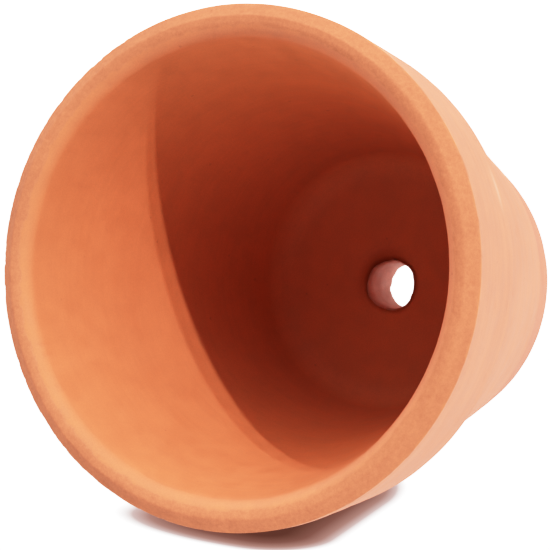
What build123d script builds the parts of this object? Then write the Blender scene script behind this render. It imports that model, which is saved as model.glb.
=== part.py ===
"""A small terracotta flower pot, in millimetres, standing on its base.

The pot is one piece of fired clay turned about the Z axis. Its frame has +Z up, from the base to the
mouth, and the origin is the centre of the flat underside.
"""

from build123d import *
import os

# Overall size
rim_diameter = 110.0
pot_height = 100.0

# Outside of the body and its foot
base_diameter = 70.0
body_top_radius = 50.2
foot_rounding = 1.4

# Thick collar around the mouth
collar_height = 28.5
collar_lower_radius = 52.2
collar_root_rounding = 0.5
collar_edge_rounding = 0.5

# Lip: a sloping outer band, a narrow crown and a broad rounding into the mouth
lip_slope_width = 2.8
lip_slope_drop = 2.2
lip_crown_rounding = 1.0
lip_edge_rounding = 0.4
mouth_radius = 48.5
mouth_rounding = 3.9

# Inside of the body and its floor
floor_thickness = 12.5
floor_radius = 29.2
floor_corner_rounding = 6.0

# Drain hole through the middle of the floor
drain_radius = 5.7
drain_edge_rounding = 0.25


def outer_corners():
    """Corners of the section from the underside up to the lip, each with its rounding."""
    collar_z = pot_height - collar_height
    rim_radius = rim_diameter / 2
    return [
        ((base_diameter / 2, 0), foot_rounding),
        ((body_top_radius, collar_z), collar_root_rounding),
        ((collar_lower_radius, collar_z), collar_edge_rounding),
        ((rim_radius, pot_height - lip_slope_drop), lip_edge_rounding),
        ((rim_radius - lip_slope_width, pot_height), lip_crown_rounding),
    ]


def inner_corners():
    """Corners of the section from the lip down the inside and out through the drain hole."""
    return [
        ((mouth_radius, pot_height), mouth_rounding),
        ((floor_radius, floor_thickness), floor_corner_rounding),
        ((drain_radius, floor_thickness), drain_edge_rounding),
        ((drain_radius, 0), drain_edge_rounding),
    ]


def wall_section():
    """Half section of the clay, with radius along X and height along Z."""
    corners = outer_corners() + inner_corners()
    outline = FilletPolyline(
        [(radius, 0, height) for (radius, height), _ in corners],
        radius=[rounding for _, rounding in corners],
        close=True,
    )
    return make_face(outline)


def turned_pot():
    """The whole pot: its half section turned once around the Z axis."""
    return revolve(wall_section(), Axis.Z, 360)


os.makedirs("parts", exist_ok=True)
export_step(turned_pot(), "parts/pot.step")
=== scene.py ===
"""Looks of a small terracotta flower pot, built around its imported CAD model.

Units are metres in the CAD frame: +Z runs from the base to the mouth, and the origin is the centre of
the underside. The pot is one turned skin of fired clay, which stands for the CAD node. It is seen lying on
its side with its mouth towards the camera, so the floor of the scene touches its side and the camera stands
upright to that floor.
"""

import math

import bpy
import numpy as np
from mathutils import Matrix, Vector


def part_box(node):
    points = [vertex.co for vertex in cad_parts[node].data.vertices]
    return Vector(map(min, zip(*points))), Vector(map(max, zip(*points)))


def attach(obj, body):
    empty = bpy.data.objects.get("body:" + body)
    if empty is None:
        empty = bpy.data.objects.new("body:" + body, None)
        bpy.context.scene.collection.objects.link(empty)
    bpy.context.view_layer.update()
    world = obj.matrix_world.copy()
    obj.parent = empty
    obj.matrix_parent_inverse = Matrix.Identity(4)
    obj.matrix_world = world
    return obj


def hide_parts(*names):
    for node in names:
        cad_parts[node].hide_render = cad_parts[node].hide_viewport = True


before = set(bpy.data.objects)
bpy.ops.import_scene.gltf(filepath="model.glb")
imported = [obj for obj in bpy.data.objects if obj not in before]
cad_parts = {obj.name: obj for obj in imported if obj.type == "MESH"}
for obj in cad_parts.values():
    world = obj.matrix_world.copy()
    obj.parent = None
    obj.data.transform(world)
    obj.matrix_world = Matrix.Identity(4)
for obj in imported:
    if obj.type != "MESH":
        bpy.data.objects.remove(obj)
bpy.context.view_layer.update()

MM = 0.001
TURN = 2 * math.pi

# Section of the pot. Its height comes from the frame, and the rest repeats the design.
_, NODE_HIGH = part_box("pot")
POT_HEIGHT = NODE_HIGH.z
RIM_RADIUS = 55.0 * MM
BASE_RADIUS = 35.0 * MM
BODY_TOP_RADIUS = 50.2 * MM
COLLAR_LOWER_RADIUS = 52.2 * MM
COLLAR_Z = POT_HEIGHT - 28.5 * MM
LIP_SLOPE_WIDTH = 2.8 * MM
LIP_SLOPE_DROP = 2.2 * MM
LIP_SLOPE_LENGTH = math.hypot(LIP_SLOPE_WIDTH, LIP_SLOPE_DROP)
MOUTH_RADIUS = 48.5 * MM
FLOOR_RADIUS = 29.2 * MM
FLOOR_Z = 12.5 * MM
DRAIN_RADIUS = 5.7 * MM

# The mouth's own directions: across it, up it, and out along the axis. The lights, camera and floor use them.
ACROSS = Vector((math.sin(math.radians(20)), -math.cos(math.radians(20)), 0))
OUT = Vector((0, 0, 1))
UP = OUT.cross(ACROSS)


# ---------------------------------------------------------------- noise

def lattice_value(cell_x, cell_y, cell_z, seed):
    """A repeatable pseudo-random value from -1 to 1 for each lattice cell."""
    mixed = (cell_x * 374761393 + cell_y * 668265263 + cell_z * 2147483029 + seed * 974634777) & 0xFFFFFFFF
    mixed = ((mixed ^ (mixed >> 13)) * 1274126177) & 0xFFFFFFFF
    mixed = (mixed ^ (mixed >> 16)) & 0xFFFF
    return mixed / 32767.5 - 1.0


def noise(points, size, seed):
    """Smooth noise from about -1 to 1 at each point, with features about one size across."""
    scaled = points / size + 1000
    cell = np.floor(scaled).astype(np.int64)
    part = scaled - cell
    weight = part ** 3 * (part * (part * 6 - 15) + 10)
    total = np.zeros(len(points))
    for corner in range(8):
        step = np.array([corner & 1, corner >> 1 & 1, corner >> 2 & 1])
        share = np.prod(np.where(step, weight, 1 - weight), axis=1)
        x, y, z = (cell + step).T
        total += share * lattice_value(x, y, z, seed)
    return total * 1.6


def layered_noise(points, size, seed, layers=3):
    """Noise summed over layers, each half the size and about half the height of the last."""
    return sum(noise(points, size / 2 ** layer, seed + layer) * 0.55 ** layer for layer in range(layers))


def smooth_step(value, low, high):
    """0 below low, 1 above high, and a smooth rise between."""
    share = np.clip((value - low) / (high - low), 0, 1)
    return share * share * (3 - 2 * share)


def bump_at(value, centre, width):
    """A bell of height 1 at centre that fades over width."""
    return np.exp(-((value - centre) / width) ** 2)


# ---------------------------------------------------------------- section of the wall

def unit(vector):
    return vector / np.linalg.norm(vector)


# Corners of the half section, from the drain hole's lower edge up the outside and down the inside. Each has
# its radius, height, rounding, the length of the steps round it, and of the steps along the run after it.
CORNERS = [
    (DRAIN_RADIUS, 0, 0.25 * MM, 0.15 * MM, 2.0 * MM),
    (BASE_RADIUS, 0, 1.4 * MM, 0.4 * MM, 0.9 * MM),
    (BODY_TOP_RADIUS, COLLAR_Z, 0.5 * MM, 0.2 * MM, 0.5 * MM),
    (COLLAR_LOWER_RADIUS, COLLAR_Z, 0.5 * MM, 0.2 * MM, 0.7 * MM),
    (RIM_RADIUS, POT_HEIGHT - LIP_SLOPE_DROP, 0.4 * MM, 0.16 * MM, 0.3 * MM),
    (RIM_RADIUS - LIP_SLOPE_WIDTH, POT_HEIGHT, 1.0 * MM, 0.3 * MM, 0.3 * MM),
    (MOUTH_RADIUS, POT_HEIGHT, 3.9 * MM, 0.4 * MM, 2.0 * MM),
    (FLOOR_RADIUS, FLOOR_Z, 6.0 * MM, 1.0 * MM, 1.6 * MM),
    (DRAIN_RADIUS, FLOOR_Z, 0.25 * MM, 0.15 * MM, 0.8 * MM),
]
LIP_CORNER = 4


def corner_arc(index):
    """Points round one corner of the section, and the outward normal at each."""
    radius, height, rounding, step_length, _ = CORNERS[index]
    corner = np.array([radius, height])
    into = unit(corner - np.array(CORNERS[index - 1][:2]))
    away = unit(np.array(CORNERS[(index + 1) % len(CORNERS)][:2]) - corner)
    turn = math.atan2(into[0] * away[1] - into[1] * away[0], into @ away)
    start = corner - into * rounding * math.tan(abs(turn) / 2)
    side = math.copysign(1, turn)
    centre = start + side * rounding * np.array([-into[1], into[0]])
    count = max(3, math.ceil(abs(turn) * rounding / step_length))
    normals = []
    for step in range(count + 1):
        angle = turn * step / count
        heading = (into[0] * math.cos(angle) - into[1] * math.sin(angle),
                   into[0] * math.sin(angle) + into[1] * math.cos(angle))
        normals.append(np.array([heading[1], -heading[0]]))
    return [centre + side * rounding * normal for normal in normals], normals


def section_rows():
    """Points and normals all the way round the section, and each point's distance past the lip's edge."""
    arcs = [corner_arc(index) for index in range(len(CORNERS))]
    points, normals = [], []
    for index, (arc_points, arc_normals) in enumerate(arcs):
        if index == LIP_CORNER:
            lip_row = len(points) + len(arc_points) // 2
        points += arc_points
        normals += arc_normals
        start, end = arc_points[-1], arcs[(index + 1) % len(arcs)][0][0]
        count = max(1, round(np.linalg.norm(end - start) / CORNERS[index][4]))
        points += [start + (end - start) * step / count for step in range(1, count)]
        normals += [arc_normals[-1]] * (count - 1)
    points = np.array(points)
    walked = np.concatenate([[0], np.cumsum(np.linalg.norm(np.diff(points, axis=0), axis=1))])
    return points, np.array(normals), walked - walked[lip_row]


def ring_count(past_edge):
    """How many vertices a ring has. The lip has the most, because its rough face is seen close up."""
    if -1.6 * MM < past_edge < LIP_SLOPE_LENGTH + 8.0 * MM:
        return 1024
    if -3.2 * MM < past_edge < LIP_SLOPE_LENGTH + 10.0 * MM:
        return 512
    return 256


# ---------------------------------------------------------------- relief of the clay

class Clay:
    """Every vertex of the skin as arrays: where it is, which way it faces, and where it is on the section."""

    def __init__(self):
        rows, row_normals, past_edge = section_rows()
        self.counts = [ring_count(s) for s in past_edge]
        angle = np.concatenate([TURN * np.arange(n) / n for n in self.counts])
        self.radius, self.height = np.repeat(rows, self.counts, axis=0).T
        self.past_edge = np.repeat(past_edge, self.counts)
        normal_radius, normal_height = np.repeat(row_normals, self.counts, axis=0).T
        self.spoke = np.stack([np.cos(angle), np.sin(angle), np.zeros_like(angle)], axis=1)
        self.points = self.spoke * self.radius[:, None]
        self.points[:, 2] = self.height
        self.normals = self.spoke * normal_radius[:, None]
        self.normals[:, 2] = normal_height
        self.outside = (self.past_edge < 0) & (normal_radius > 0)
        self.inside = self.past_edge > LIP_SLOPE_LENGTH


def drum(clay, stretch, size):
    """Points squeezed so that noise on them makes rings: long round the pot and short across the ring."""
    squeezed = clay.points / stretch
    squeezed[:, 2] = clay.past_edge / size
    return squeezed


def lip_grain(clay):
    """Share of rough open clay: the sloping face of the lip and its crown, with ragged edges."""
    ragged_outside = 0.16 * MM * layered_noise(clay.points, 2.2 * MM, 11) - 0.1 * MM
    ragged_inside = 0.30 * MM * layered_noise(clay.points, 2.6 * MM, 21)
    begins = smooth_step(clay.past_edge + ragged_outside, -0.1 * MM, 0.1 * MM)
    crown = LIP_SLOPE_LENGTH + 2.1 * MM
    ends = smooth_step(clay.past_edge + ragged_inside, crown - 0.15 * MM, crown + 0.15 * MM)
    return begins * (1 - ends)


def pits(clay):
    """Share of a pit, for small holes left by grit: many on the lip's rough face, and a few elsewhere."""
    on_lip = smooth_step(noise(clay.points, 0.95 * MM, 31), 0.62, 0.95)
    near_lip = bump_at(clay.past_edge, LIP_SLOPE_LENGTH / 2, 5 * MM)
    elsewhere = smooth_step(noise(clay.points, 1.7 * MM, 32), 1.12, 1.35)
    return np.maximum(on_lip * near_lip * 0.6, elsewhere * 0.6)


def chips(clay):
    """Share of a chip, for places where the lip's outer edge has broken away."""
    along = smooth_step(noise(clay.points, 2.8 * MM, 41) + 0.35 * noise(clay.points, 1.0 * MM, 42), 0.45, 0.9)
    return along * bump_at(clay.past_edge, 0, 0.55 * MM)


def pale_streak(clay):
    """Share of a short pale streak round the pot, just above the collar's lower edge."""
    sideways = clay.spoke @ np.array(ACROSS)
    upwards = clay.spoke @ np.array(UP)
    degrees = np.degrees(np.arctan2(upwards, sideways))
    return clay.outside * bump_at(degrees, 18, 4) * bump_at(clay.height, COLLAR_Z + 4 * MM, 0.9 * MM)


def painted_lip_highlight(clay):
    """Share of a paler band painted as a highlight on the lip's inner turn, more on one side of the mouth
    than on the other.
    """
    share = 0.4 + 0.4 * clay.spoke @ np.array(ACROSS)
    return share * bump_at(clay.past_edge, LIP_SLOPE_LENGTH + 3.8 * MM, 2.0 * MM)


def painted_dish_shade(clay):
    """Share of painted shade on the floor beside the drain hole, in its slight dish, deepest on its upper
    left.
    """
    on_floor = (clay.height > FLOOR_Z - 0.2 * MM) & (clay.height < FLOOR_Z + 1 * MM)
    around = 1 - smooth_step(clay.radius, DRAIN_RADIUS + 0.8 * MM, DRAIN_RADIUS + 4.0 * MM)
    facing = clay.spoke @ np.array(UP * 0.7 - ACROSS * 0.7)
    return on_floor * around * np.clip(0.1 + 0.9 * facing, 0, 1)


def relief(clay, grain, pit, chip):
    """Height of the finished surface over the plain section, along its normal."""
    height = grain * (0.022 * MM * layered_noise(clay.points, 1.3 * MM, 51) - 0.015 * MM)
    height -= pit * 0.10 * MM
    height -= chip * 0.09 * MM
    rings = layered_noise(drum(clay, 45, 2.6), MM, 61, layers=2)
    height += clay.outside * 0.022 * MM * rings
    throwing = layered_noise(drum(clay, 60, 9.0), MM, 71, layers=2)
    height += clay.inside * 0.02 * MM * throwing
    foot_line = bump_at(clay.height, 14.5 * MM, 0.7 * MM) - 0.6 * bump_at(clay.height, 13.2 * MM, 0.9 * MM)
    height += clay.outside * 0.09 * MM * foot_line
    on_floor = (clay.height > FLOOR_Z - 1 * MM) & (clay.height < FLOOR_Z + 1 * MM)
    dish = 1 - smooth_step(clay.radius, DRAIN_RADIUS + 0.8 * MM, DRAIN_RADIUS + 4.5 * MM)
    height -= on_floor * 0.4 * MM * dish
    height += 0.02 * MM * noise(clay.points, 3.0 * MM, 81)
    return height


def out_of_true(clay, points):
    """Moves the skin off a perfect turn: a mouth that isn't quite round or level, and a punched hole."""
    high = smooth_step(clay.height, 20 * MM, POT_HEIGHT)
    wander = noise(clay.spoke * 55 * MM, 38 * MM, 91)
    points += clay.spoke * (high * 0.12 * MM * wander)[:, None]
    at_lip = smooth_step(clay.height, COLLAR_Z, POT_HEIGHT)
    points[:, 2] += at_lip * 0.10 * MM * noise(clay.spoke * 55 * MM, 30 * MM, 92)
    near_hole = 1 - smooth_step(clay.radius, DRAIN_RADIUS + 1 * MM, DRAIN_RADIUS + 12 * MM)
    low = clay.height < FLOOR_Z + 1 * MM
    depth = np.clip(clay.height / FLOOR_Z, 0, 1)
    sideways = (0.9 - 0.75 * depth) * near_hole * low * MM
    points += sideways[:, None] * np.array(ACROSS) - (0.8 * MM * near_hole * low)[:, None] * np.array(UP)
    outline = noise(clay.spoke * DRAIN_RADIUS, 3.4 * MM, 93) + 0.5 * noise(clay.points, 1.3 * MM, 94)
    at_hole = (1 - smooth_step(clay.radius, DRAIN_RADIUS + 0.3 * MM, DRAIN_RADIUS + 2.5 * MM)) * low
    points += clay.spoke * (at_hole * 0.22 * MM * outline)[:, None]
    return points


def kept_in_box(points):
    """The skin pressed back inside the CAD model's box, as the high places of a real pot rub flat."""
    reach = np.hypot(points[:, 0], points[:, 1])
    limit = min(NODE_HIGH.x, NODE_HIGH.y) - 0.02 * MM
    points[:, :2] *= np.minimum(1, limit / reach)[:, None]
    points[:, 2] = np.clip(points[:, 2], 0, POT_HEIGHT)
    return points


# ---------------------------------------------------------------- skin

def strip(first, count, next_first, next_count):
    """Faces between two rings. Where one has more vertices, each wide face is a fan."""
    if count == next_count:
        return [(first + k, first + (k + 1) % count, next_first + (k + 1) % count, next_first + k)
                for k in range(count)]
    flip = count > next_count
    if flip:
        first, count, next_first, next_count = next_first, next_count, first, count
    ratio = next_count // count
    faces = []
    for k in range(count):
        corner, following = first + k, first + (k + 1) % count
        fine = [next_first + (k * ratio + j) % next_count for j in range(ratio + 1)]
        middle = ratio // 2
        faces += [(corner, fine[j + 1], fine[j]) for j in range(middle)]
        faces.append((corner, following, fine[middle]))
        faces += [(following, fine[j + 1], fine[j]) for j in range(middle, ratio)]
    return [face[::-1] for face in faces] if flip else faces


def make_skin(name):
    """The pot's whole surface as one closed mesh, with the masks that its material reads."""
    clay = Clay()
    pit, chip = pits(clay), chips(clay)
    grain = np.maximum(lip_grain(clay), chip)
    # The drain hole's wall, which the material paints paler as painted light through the hole.
    in_hole = clay.radius < DRAIN_RADIUS + 0.15 * MM
    points = clay.points + clay.normals * relief(clay, grain, pit, chip)[:, None]
    points = kept_in_box(out_of_true(clay, points))
    firsts = np.concatenate([[0], np.cumsum(clay.counts)[:-1]])
    faces = []
    for row, count in enumerate(clay.counts):
        following = (row + 1) % len(clay.counts)
        faces += strip(int(firsts[row]), count, int(firsts[following]), clay.counts[following])
    mesh = bpy.data.meshes.new(name)
    mesh.from_pydata(points.tolist(), [], faces)
    mesh.shade_smooth()
    masks = {"grain": grain, "pit": pit, "painted_lip_highlight": painted_lip_highlight(clay), "pale_streak": pale_streak(clay), "painted_dish_shade": painted_dish_shade(clay),
             "in_hole": in_hole, "bare_outside": clay.outside}
    for mask_name, values in masks.items():
        mesh.attributes.new(mask_name, "FLOAT", "POINT").data.foreach_set("value", values.astype(np.float32))
    skin = bpy.data.objects.new(name, mesh)
    bpy.context.scene.collection.objects.link(skin)
    return skin


# ---------------------------------------------------------------- materials

class Shader:
    """A short way to write node trees: each call adds one node and links or sets its inputs by name."""

    def __init__(self, tree):
        self.tree = tree
        tree.nodes.clear()

    def add(self, kind, settings=None, **inputs):
        node = self.tree.nodes.new("ShaderNode" + kind)
        for key, value in (settings or {}).items():
            setattr(node, key, value)
        for key, value in inputs.items():
            self.put(node.inputs[int(key[1:])] if key[0] == "i" and key[1:].isdigit()
                     else node.inputs[key.replace("_", " ")], value)
        return node

    def put(self, socket, value):
        if isinstance(value, bpy.types.NodeSocket):
            self.tree.links.new(value, socket)
        else:
            socket.default_value = value

    def math(self, operation, a, b=0.0, c=0.0):
        return self.add("Math", {"operation": operation}, i0=a, i1=b, i2=c).outputs[0]

    def scale(self, vector, factors):
        return self.add("VectorMath", {"operation": "MULTIPLY"}, i0=vector, i1=factors).outputs[0]

    def along(self, vector, direction):
        """How far the vector reaches along a fixed direction."""
        settings = {"operation": "DOT_PRODUCT"}
        return self.add("VectorMath", settings, i0=vector, i1=tuple(direction)).outputs[1]

    def noise(self, vector, size, detail=2.0, roughness=0.5):
        """Noise from 0 to 1 with features about one size across."""
        node = self.add("TexNoise", Vector=vector, Scale=1 / size, Detail=detail, Roughness=roughness)
        return node.outputs["Fac"]

    def specks(self, vector, cell, widest):
        """Share of a small round speck: at most one in each cell, of a size of its own up to widest cells."""
        node = self.add("TexVoronoi", Vector=vector, Scale=1 / cell)
        own_size = self.add("SeparateColor", Color=node.outputs["Color"]).outputs[0]
        edge = self.math("MULTIPLY_ADD", own_size, widest * 1.5, -widest * 0.5)
        return self.ramp(self.math("SUBTRACT", edge, node.outputs["Distance"]), 0.0, widest * 0.3)

    def ramp(self, value, low, high, start=0.0, end=1.0):
        """start up to low, end from high on, and a smooth change between."""
        settings = {"interpolation_type": "SMOOTHSTEP"}
        node = self.add("MapRange", settings, i0=value, i1=low, i2=high, i3=start, i4=end)
        return node.outputs[0]

    def mix(self, factor, a, b):
        node = self.add("Mix", {"data_type": "RGBA"})
        self.put(node.inputs[0], factor)
        self.put(node.inputs[6], a)
        self.put(node.inputs[7], b)
        return node.outputs[2]

    def blend(self, factor, a, b):
        """The plain number a, turning into b as the factor goes from 0 to 1."""
        return self.add("Mix", {"data_type": "FLOAT"}, i0=factor, i2=a, i3=b).outputs[0]

    def shade(self, colour, factor):
        """The colour times a plain factor."""
        return self.add("VectorMath", {"operation": "SCALE"}, i0=colour, Scale=factor).outputs[0]

    def attribute(self, name):
        return self.add("Attribute", {"attribute_name": name}).outputs["Fac"]


CLAY_INSIDE = (0.64, 0.228, 0.107, 1)
CLAY_OUTSIDE = (0.735, 0.308, 0.197, 1)
# The rough lip face's colour: the same clay, darker as painted shade in its rough grain.
CLAY_LIP = (0.585, 0.215, 0.112, 1)
# A paler clay colour painted as the highlight on the lip's inner turn.
CLAY_PAINTED_HIGHLIGHT = (0.72, 0.275, 0.16, 1)
# Dark clay, for the specks and for painted shade in the pits.
CLAY_SPECK_AND_PIT_SHADE = (0.36, 0.13, 0.07, 1)
# The drain hole's wall painted paler: painted light from the bright backdrop through the hole.
CLAY_HOLE_PAINTED_LIGHT = (0.76, 0.41, 0.34, 1)
# Colour of the short pale streak just above the collar's lower edge.
CLAY_PALE_STREAK = (0.84, 0.50, 0.36, 1)


def terracotta():
    """Fired red clay: blotches, turning streaks, grit, specks, pits with painted shade, a paler skin on the
    outside.
    """
    material = bpy.data.materials.new("terracotta")
    material.use_nodes = True
    shader = Shader(material.node_tree)
    place = shader.add("TexCoord").outputs["Object"]
    turned = shader.scale(place, (0.03, 0.03, 1))
    outside, grain = shader.attribute("bare_outside"), shader.attribute("grain")
    pit, pale_streaked = shader.attribute("pit"), shader.attribute("pale_streak")

    blotch = shader.noise(place, 26 * MM, 3)
    mottle = shader.noise(place, 4.5 * MM, 3)
    streak = shader.noise(turned, 1.1 * MM, 4, 0.6)
    grit = shader.noise(place, 0.32 * MM, 2)
    colour = shader.mix(outside, CLAY_INSIDE, CLAY_OUTSIDE)
    # Painted highlight on the lip's inner turn.
    colour = shader.mix(shader.attribute("painted_lip_highlight"), colour, CLAY_PAINTED_HIGHLIGHT)
    # Painted light on the drain hole's wall.
    colour = shader.mix(shader.attribute("in_hole"), colour, CLAY_HOLE_PAINTED_LIGHT)
    # The rough lip face, darker as painted shade in its grain.
    colour = shader.mix(grain, colour, CLAY_LIP)
    colour = shader.shade(colour, shader.ramp(blotch, 0.3, 0.7, 0.965, 1.035))
    colour = shader.shade(colour, shader.ramp(mottle, 0.3, 0.7, 0.97, 1.03))
    streaked = shader.ramp(streak, 0.3, 0.7, 0.97, 1.03)
    colour = shader.shade(colour, shader.blend(shader.blend(outside, 0.5, 1.0), 1.0, streaked))
    colour = shader.shade(colour, shader.ramp(grit, 0.3, 0.7, 0.96, 1.04))
    lump = shader.noise(place, 0.8 * MM, 2)
    lumpy = shader.ramp(lump, 0.35, 0.68, 0.97, 1.05)
    colour = shader.mix(grain, colour, shader.shade(colour, lumpy))
    speck = shader.specks(place, 5.0 * MM, 0.09)
    colour = shader.mix(shader.math("MULTIPLY", speck, 0.35), colour, CLAY_SPECK_AND_PIT_SHADE)
    # Painted shade in the pits: darker where the small holes are.
    colour = shader.mix(shader.math("MULTIPLY", pit, 0.12), colour, CLAY_SPECK_AND_PIT_SHADE)
    height = shader.add("SeparateXYZ", Vector=place).outputs[2]
    foot = shader.math("MULTIPLY", outside, shader.ramp(height, 13.2 * MM, 14.2 * MM, 1.0, 0.0))
    colour = shader.mix(foot, colour, shader.scale(colour, (0.95, 0.90, 0.92)))
    # A short pale streak just above the collar's lower edge.
    colour = shader.mix(shader.math("MULTIPLY", pale_streaked, 0.6), colour, CLAY_PALE_STREAK)
    # Painted shade in the slight dish beside the drain hole.
    colour = shader.mix(shader.attribute("painted_dish_shade"), colour, shader.scale(colour, (0.70, 0.50, 0.40)))

    rough = shader.ramp(shader.math("ADD", mottle, shader.math("MULTIPLY", grit, 0.5)), 0.4, 1.1, 0.62, 0.82)
    rough = shader.math("MAXIMUM", rough, shader.math("MULTIPLY", grain, 0.88))
    lines = shader.noise(turned, 0.45 * MM, 3, 0.6)
    sand = shader.noise(place, 0.22 * MM, 3, 0.6)
    lined = shader.math("MULTIPLY", lines, shader.blend(outside, 0.12, 0.5))
    relief_height = shader.math("ADD", lined, shader.math("MULTIPLY", sand, 0.5))
    coarse = shader.math("MULTIPLY", shader.noise(place, 0.55 * MM, 3, 0.6), grain)
    relief_height = shader.math("ADD", relief_height, shader.math("MULTIPLY", coarse, 0.35))
    bump = shader.add("Bump", Strength=0.55, Distance=0.06 * MM, Height=relief_height)

    normal = bump.outputs[0]
    surface = shader.add("BsdfPrincipled", Base_Color=colour, Roughness=rough, Normal=normal, IOR=1.5)
    shader.add("OutputMaterial", Surface=surface.outputs[0])
    return material


# ---------------------------------------------------------------- studio: floor, world, lights and camera

# The pot lies on its side on its foot and the collar's lower corner, with the rim clear of the floor. Each
# touching place is a radius and a height on the section, where the floor is tangent to the rounding.
LYING_ROLL = math.radians(6.37)
FOOT_TOUCH = Vector((BASE_RADIUS + 0.23 * MM, 1.07 * MM))
COLLAR_TOUCH = Vector((COLLAR_LOWER_RADIUS + 0.04 * MM, COLLAR_Z + 0.38 * MM))
LYING_SLOPE = math.atan2(COLLAR_TOUCH.x - FOOT_TOUCH.x, COLLAR_TOUCH.y - FOOT_TOUCH.y)
FLOOR_GAP = 0.1 * MM
FLOOR_HALF = 0.45
FLOOR_SIDE = UP * math.cos(LYING_ROLL) + ACROSS * math.sin(LYING_ROLL)
FLOOR_UP = FLOOR_SIDE * math.cos(LYING_SLOPE) + OUT * math.sin(LYING_SLOPE)
FLOOR_CONTACT = OUT * COLLAR_TOUCH.y - FLOOR_SIDE * COLLAR_TOUCH.x - FLOOR_UP * FLOOR_GAP

CAMERA_PLACE = (ACROSS * 237.6 - UP * 22.5 + OUT * 587.1) * MM
CAMERA_AIM = (ACROSS * -5.63 - UP * 0.32 + OUT * 65.0) * MM
CAMERA_LENS = 171.8
CAMERA_SENSOR = 36.0

# Brightness of the studio, where WHITE and over is shown as plain white
WHITE = 2.0
FLOOR_GLOW = 2.05
FLOOR_BOUNCE = 1.65
BACK_GLOW = 0.9
SIDE_GLOW = 0.38
FRONT_GLOW = 0.06
LEFT_GLOW = 1.35
OVERHEAD_GLOW = 3.2
OVERHEAD_TILT = math.radians(62)
OVERHEAD_SPREAD = math.radians(37)

# The two lamps of the key light: strength, then azimuth and elevation in degrees in the mouth's directions
KEY_LOW = (1.16, 28.2, 29.1)
KEY_HIGH = (1.93, 28.5, 32.0)
KEY_WIDTH = math.radians(1.0)

# The pot's painted shade on the floor, measured from where the collar touches: its middle, how far it reaches
# to each side, and where it starts to thin and how long it takes to, past the mouth and towards the foot
SHADE_MIDDLE = -6 * MM
SHADE_RIGHT = 17 * MM
SHADE_LEFT = 34 * MM
SHADE_FRONT_START = 10 * MM
SHADE_FRONT_FADE = 14 * MM
SHADE_BACK_START = 18 * MM
SHADE_BACK_FADE = 24 * MM

# Film response: what comes out as shown brightness v went in as v ** TOE / (1 - SHOULDER * v ** 4)
TOE = 0.75
SHOULDER = 1 - 1 / WHITE


def frame_towards(place, forward, upright):
    """A matrix at place whose -Z looks forward, with its Y as near upright as can be."""
    right = forward.cross(upright).normalized()
    up = right.cross(forward)
    axes = Matrix((right, up, -forward)).transposed()
    return Matrix.Translation(place) @ axes.to_4x4()


def add_camera():
    data = bpy.data.cameras.new("camera")
    data.sensor_width = CAMERA_SENSOR
    data.lens = CAMERA_LENS
    data.clip_start = 0.01
    camera = bpy.data.objects.new("camera", data)
    bpy.context.scene.collection.objects.link(camera)
    camera.matrix_world = frame_towards(CAMERA_PLACE, (CAMERA_AIM - CAMERA_PLACE).normalized(), FLOOR_UP)
    bpy.context.scene.camera = camera


def floor_paper():
    """Bright white paper with the pot's warm shade on it, along the line where it touches. Clear from below.

    On the paper, X runs to the left across the pot and Y out past its mouth, from where the collar touches.
    """
    material = bpy.data.materials.new("studio_paper")
    material.use_nodes = True
    shader = Shader(material.node_tree)
    place = shader.add("SeparateXYZ", Vector=shader.add("TexCoord").outputs["Object"])
    across, ahead = place.outputs[0], place.outputs[1]
    aside = shader.math("SUBTRACT", across, SHADE_MIDDLE)
    rightwards = shader.math("DIVIDE", aside, -SHADE_RIGHT)
    aside = shader.math("MAXIMUM", shader.math("DIVIDE", aside, SHADE_LEFT), rightwards)
    front = shader.math("DIVIDE", shader.math("SUBTRACT", ahead, SHADE_FRONT_START), SHADE_FRONT_FADE)
    back = shader.math("DIVIDE", shader.math("ADD", ahead, SHADE_BACK_START), -SHADE_BACK_FADE)
    along = shader.math("MAXIMUM", shader.math("MAXIMUM", front, back), 0.0)
    both_ways = shader.add("CombineXYZ", X=aside, Y=along).outputs[0]
    thinning = shader.add("VectorMath", {"operation": "LENGTH"}, i0=both_ways).outputs[1]
    shade = shader.add("ValToRGB", Fac=shader.math("MULTIPLY", thinning, 0.95))
    stops = shade.color_ramp.elements
    stops[0].position, stops[0].color = 0.285, (0.10, 0.042, 0.031, 1)
    stops[1].position, stops[1].color = 1.0, (1, 1, 1, 1)
    stops.new(0.57).color = (0.168, 0.083, 0.067, 1)
    stops.new(0.76).color = (0.27, 0.165, 0.145, 1)
    stops.new(0.874).color = (0.40, 0.31, 0.30, 1)
    seen = shader.add("LightPath").outputs["Is Camera Ray"]
    glow = shader.blend(seen, FLOOR_BOUNCE, FLOOR_GLOW)
    # The light the paper throws onto the pot carries part of its painted shade.
    bounced = shader.mix(0.65, shade.outputs[0], (1, 1, 1, 1))
    light = shader.add("Emission", Color=shader.mix(seen, bounced, shade.outputs[0]), Strength=glow)
    clear = shader.add("BsdfTransparent")
    below = shader.add("NewGeometry").outputs["Backfacing"]
    both = shader.add("MixShader", i0=below, i1=light.outputs[0], i2=clear.outputs[0])
    shader.add("OutputMaterial", Surface=both.outputs[0])
    return material


def add_floor():
    """A sheet of paper under the lying pot, facing it."""
    mesh = bpy.data.meshes.new("floor")
    signs = [(-1, -1), (1, -1), (1, 1), (-1, 1)]
    mesh.from_pydata([(x * FLOOR_HALF, y * FLOOR_HALF, 0) for x, y in signs], [], [(0, 1, 2, 3)])
    mesh.materials.append(floor_paper())
    floor = bpy.data.objects.new("floor", mesh)
    bpy.context.scene.collection.objects.link(floor)
    floor.matrix_world = frame_towards(FLOOR_CONTACT, -FLOOR_UP, OUT)


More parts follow.
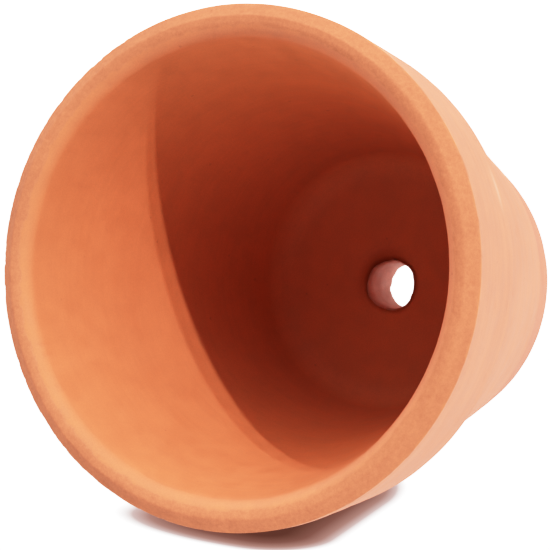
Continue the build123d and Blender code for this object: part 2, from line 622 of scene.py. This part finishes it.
def add_world():
    """A white surround. Past the mouth it is dim, so that the inside of the pot falls dark."""
    world = bpy.data.worlds.new("studio")
    bpy.context.scene.world = world
    world.use_nodes = True
    shader = Shader(world.node_tree)
    direction = shader.add("TexCoord").outputs["Generated"]
    towards_mouth = shader.along(direction, OUT)
    behind = shader.ramp(towards_mouth, -0.3, 0.1, BACK_GLOW, SIDE_GLOW)
    ahead = shader.ramp(towards_mouth, 0.2, 0.75, 0.0, 1.0)
    glow = shader.blend(ahead, behind, FRONT_GLOW)
    leftwards = shader.along(direction, -ACROSS)
    left = shader.ramp(leftwards, 0.5, 0.8, 0.0, LEFT_GLOW)
    glow = shader.math("ADD", glow, shader.blend(ahead, left, 0.0))
    overhead = UP * math.sin(OVERHEAD_TILT) + OUT * math.cos(OVERHEAD_TILT)
    upwards = shader.along(direction, overhead)
    edge = math.cos(OVERHEAD_SPREAD)
    glow = shader.math("ADD", glow, shader.ramp(upwards, edge - 0.1, edge + 0.1, 0.0, OVERHEAD_GLOW))
    seen = shader.add("LightPath").outputs["Is Camera Ray"]
    strength = shader.blend(seen, glow, WHITE * 1.2)
    background = shader.add("Background", Color=(1, 1, 1, 1), Strength=strength)
    shader.add("OutputWorld", Surface=background.outputs[0])


def add_key(name, strength, azimuth, elevation):
    """One of the two small lamps of the key light. Angles are in the mouth's own directions."""
    data = bpy.data.lights.new(name, "SUN")
    data.energy = strength
    data.angle = KEY_WIDTH
    lamp = bpy.data.objects.new(name, data)
    bpy.context.scene.collection.objects.link(lamp)
    flat = ACROSS * math.cos(math.radians(azimuth)) + UP * math.sin(math.radians(azimuth))
    towards = flat * math.cos(math.radians(elevation)) + OUT * math.sin(math.radians(elevation))
    lamp.matrix_world = frame_towards(towards * 0.6, -towards, OUT)


def set_film():
    """The response of the film, with deep shadows and soft highlights."""
    view = bpy.context.scene.view_settings
    view.view_transform = "Standard"
    view.use_curve_mapping = True
    mapping = view.curve_mapping
    mapping.white_level = (WHITE, WHITE, WHITE)
    curve = mapping.curves[3]
    steps = 12
    for step in range(1, steps):
        shown = (step / steps) ** 1.5
        curve.points.new(shown ** TOE / (1 - SHOULDER * shown ** 4) / WHITE, shown)
    mapping.update()


pot = make_skin("terracotta_pot")
pot.data.materials.append(terracotta())
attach(pot, "root")
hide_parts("pot")

add_camera()
add_floor()
add_world()
add_key("key_low", *KEY_LOW)
add_key("key_high", *KEY_HIGH)
set_film()
